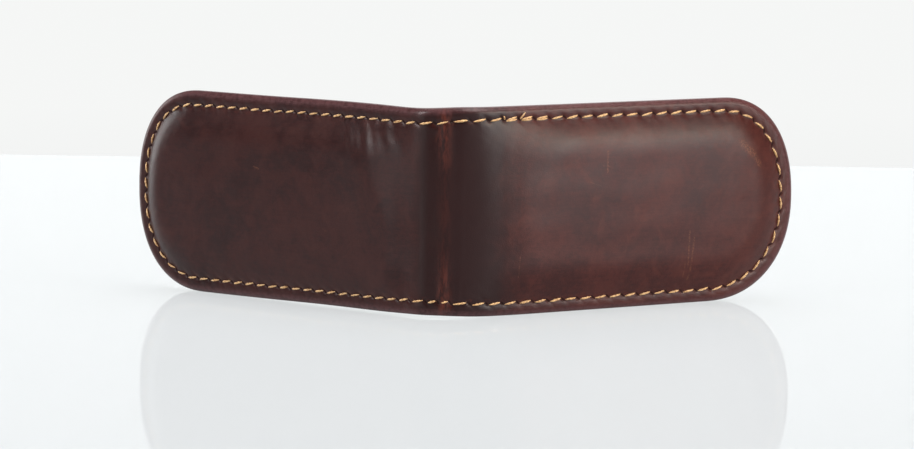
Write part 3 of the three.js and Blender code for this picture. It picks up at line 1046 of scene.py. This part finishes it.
# Soft boxes: azimuth, elevation, distance, width, height, radiance and colour.
LIGHTS = {
    "top": (180, 70, 1.0, 0.95, 0.95, 4.2, WHITE),
    "key": (69, 18, 1.0, 0.42, 0.28, 9.8, WARM),
    "right_wall": (67, 2, 1.1, 0.50, 0.42, 5.0, WHITE),
    "high_right": (62, 56, 1.0, 0.50, 0.50, 7.5, SLIGHTLY_WARM),
    "window": (-50, 34, 1.0, 0.36, 0.42, 13.0, WHITE),
    "front_left": (-52, 2, 1.0, 0.34, 0.35, 2.0, WHITE),
    "near_left": (-34, 3, 1.0, 0.26, 0.42, 0.8, WHITE),
    "near_right": (36, 3, 1.0, 0.34, 0.42, 0.7, WHITE),
    "left_rim": (-116, 10, 1.0, 0.40, 0.50, 3.7, WHITE),
}

# The world as light: its strength goes from low to high over this range of directions along Y.
LIT_RANGE = {"From Min": 0.30, "From Max": 0.90, "To Min": 0.11, "To Max": 0.95}
LIT_COLOUR = (0.98, 1.0, 0.985, 1)
# The world as the camera sees it, by direction along Z: a little darker towards the table.
SEEN_RANGE = {"From Min": -0.097, "From Max": -0.080, "To Min": 0.975, "To Max": 1.0}
SEEN_COLOUR = (0.916, 0.925, 0.917, 1)


def add_floor():
    """A glossy white acrylic table, lit from above and a little from below."""
    far = FOLD_Y * MM + TABLE_BACK
    near, left, right = -TABLE_REACH, -TABLE_REACH, TABLE_REACH
    mesh = bpy.data.meshes.new("floor")
    mesh.from_pydata([(left, near, 0), (right, near, 0), (right, far, 0), (left, far, 0)], [], [(0, 1, 2, 3)])
    n = Nodes("white_acrylic")
    n.surface(TABLE_LOOK)
    mesh.materials.append(n.material)
    floor = bpy.data.objects.new("floor", mesh)
    bpy.context.scene.collection.objects.link(floor)


def around(azimuth, elevation, distance):
    """A point seen from the clip. Azimuth 0 is towards -Y, and positive to the right."""
    a, e = math.radians(azimuth), math.radians(elevation)
    return (
        distance * math.sin(a) * math.cos(e),
        -distance * math.cos(a) * math.cos(e) + FOLD_Y * MM,
        distance * math.sin(e) + HEIGHT * MM / 2,
    )


def add_area_light(name, at, width, height, radiance, color):
    """A soft box. Radiance is what the box would read if it were seen directly."""
    data = bpy.data.lights.new(name, "AREA")
    data.shape, data.size, data.size_y, data.color = "RECTANGLE", width, height, color
    data.energy = radiance * math.pi * width * height
    light = bpy.data.objects.new(name, data)
    light.location = at
    light.rotation_mode = "QUATERNION"
    light.rotation_quaternion = (Vector(LIGHT_AIM) - Vector(at)).to_track_quat("-Z", "Y")
    light.visible_camera = False
    bpy.context.scene.collection.objects.link(light)


def add_lights():
    for name, (azimuth, elevation, distance, width, height, radiance, color) in LIGHTS.items():
        add_area_light(name, around(azimuth, elevation, distance), width, height, radiance, color)


def world_light(tree, direction, numbers, colour, **settings):
    """A background whose strength goes by one axis of the direction."""
    spread = tree.nodes.new("ShaderNodeMapRange")
    for key, value in settings.items():
        setattr(spread, key, value)
    for key, value in numbers.items():
        spread.inputs[key].default_value = value
    light = tree.nodes.new("ShaderNodeBackground")
    light.inputs["Color"].default_value = colour
    tree.links.new(direction, spread.inputs["Value"])
    tree.links.new(spread.outputs[0], light.inputs["Strength"])
    return light.outputs[0]


def add_world():
    """White to the camera. As light it is bright behind the clip and dim in front, like a white studio."""
    world = bpy.data.worlds.new("studio")
    world.use_nodes = True
    tree = world.node_tree
    tree.nodes.clear()
    axes = tree.nodes.new("ShaderNodeSeparateXYZ")
    path = tree.nodes.new("ShaderNodeLightPath")
    mix = tree.nodes.new("ShaderNodeMixShader")
    out = tree.nodes.new("ShaderNodeOutputWorld")
    lit = world_light(tree, axes.outputs["Y"], LIT_RANGE, LIT_COLOUR, interpolation_type="SMOOTHSTEP")
    seen = world_light(tree, axes.outputs["Z"], SEEN_RANGE, SEEN_COLOUR)
    link = tree.links.new
    link(tree.nodes.new("ShaderNodeTexCoord").outputs["Generated"], axes.inputs[0])
    link(path.outputs["Is Camera Ray"], mix.inputs[0])
    link(lit, mix.inputs[1])
    link(seen, mix.inputs[2])
    link(mix.outputs[0], out.inputs["Surface"])
    bpy.context.scene.world = world


def set_colours():
    view = bpy.context.scene.view_settings
    view.view_transform, view.look, view.exposure, view.gamma = "Standard", "None", 0.0, 1.0


# ---- Putting it together ----


def follow(piece, side):
    """Bakes a piece's placement into its mesh. Where the leather turns towards that side is worked out but
    not used.
    """
    start, end = TURNS[side] if side == RIGHT else TURNS[side][::-1]
    start = fold(np.array([side * max(side * start, MEETING_GAP), HEIGHT / 2, 0.0]))
    end = fold(np.array([end, HEIGHT / 2, 0.0]))
    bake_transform(piece)


def build_clip():
    """The two leather layers and their seams, each in a left and a right half."""
    thread = waxed_thread()
    for side, name in ((LEFT, "left"), (RIGHT, "right")):
        half = Half(side)
        outer_look = leather(f"outer_leather_{name}_look", half)
        lining_look = leather(f"lining_leather_{name}_look", half, lining=True)
        outer = layer_mesh(f"outer_skin_{name}", half, outer_surface, outer_look)
        lining = layer_mesh(f"lining_skin_{name}", half, lining_surface, lining_look)
        outer_seam = stitching(f"outer_stitches_{name}", half, 1, thread)
        lining_seam = stitching(f"lining_stitches_{name}", half, -1, thread)
        stand_ins = {
            outer: [f"outer_leather_{name}", "outer_spine"],
            lining: [f"lining_leather_{name}", "lining_spine"],
            outer_seam: [f"outer_thread_{name}", "spine_thread_top", "spine_thread_bottom"],
            lining_seam: [f"lining_thread_{name}"],
        }
        for piece, nodes in stand_ins.items():
            follow(piece, side)
            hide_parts(*nodes)


def finish_hidden_parts():
    """The foam, boards and magnets inside the panels keep their CAD shapes."""
    looks = {
        "foam_pad": plain("foam", *FOAM),
        "magnet_board": plain("fibre_board", *FIBRE_BOARD),
        "magnet_left": plain("nickel", *NICKEL),
    }
    looks["magnet_right"] = looks["magnet_left"]
    for name, obj in frame["nodes"].items():
        for start, look in looks.items():
            if name.startswith(start):
                obj.data.materials.clear()
                obj.data.materials.append(look)


add_camera()
add_floor()
add_lights()
add_world()
set_colours()
build_clip()
finish_hidden_parts()
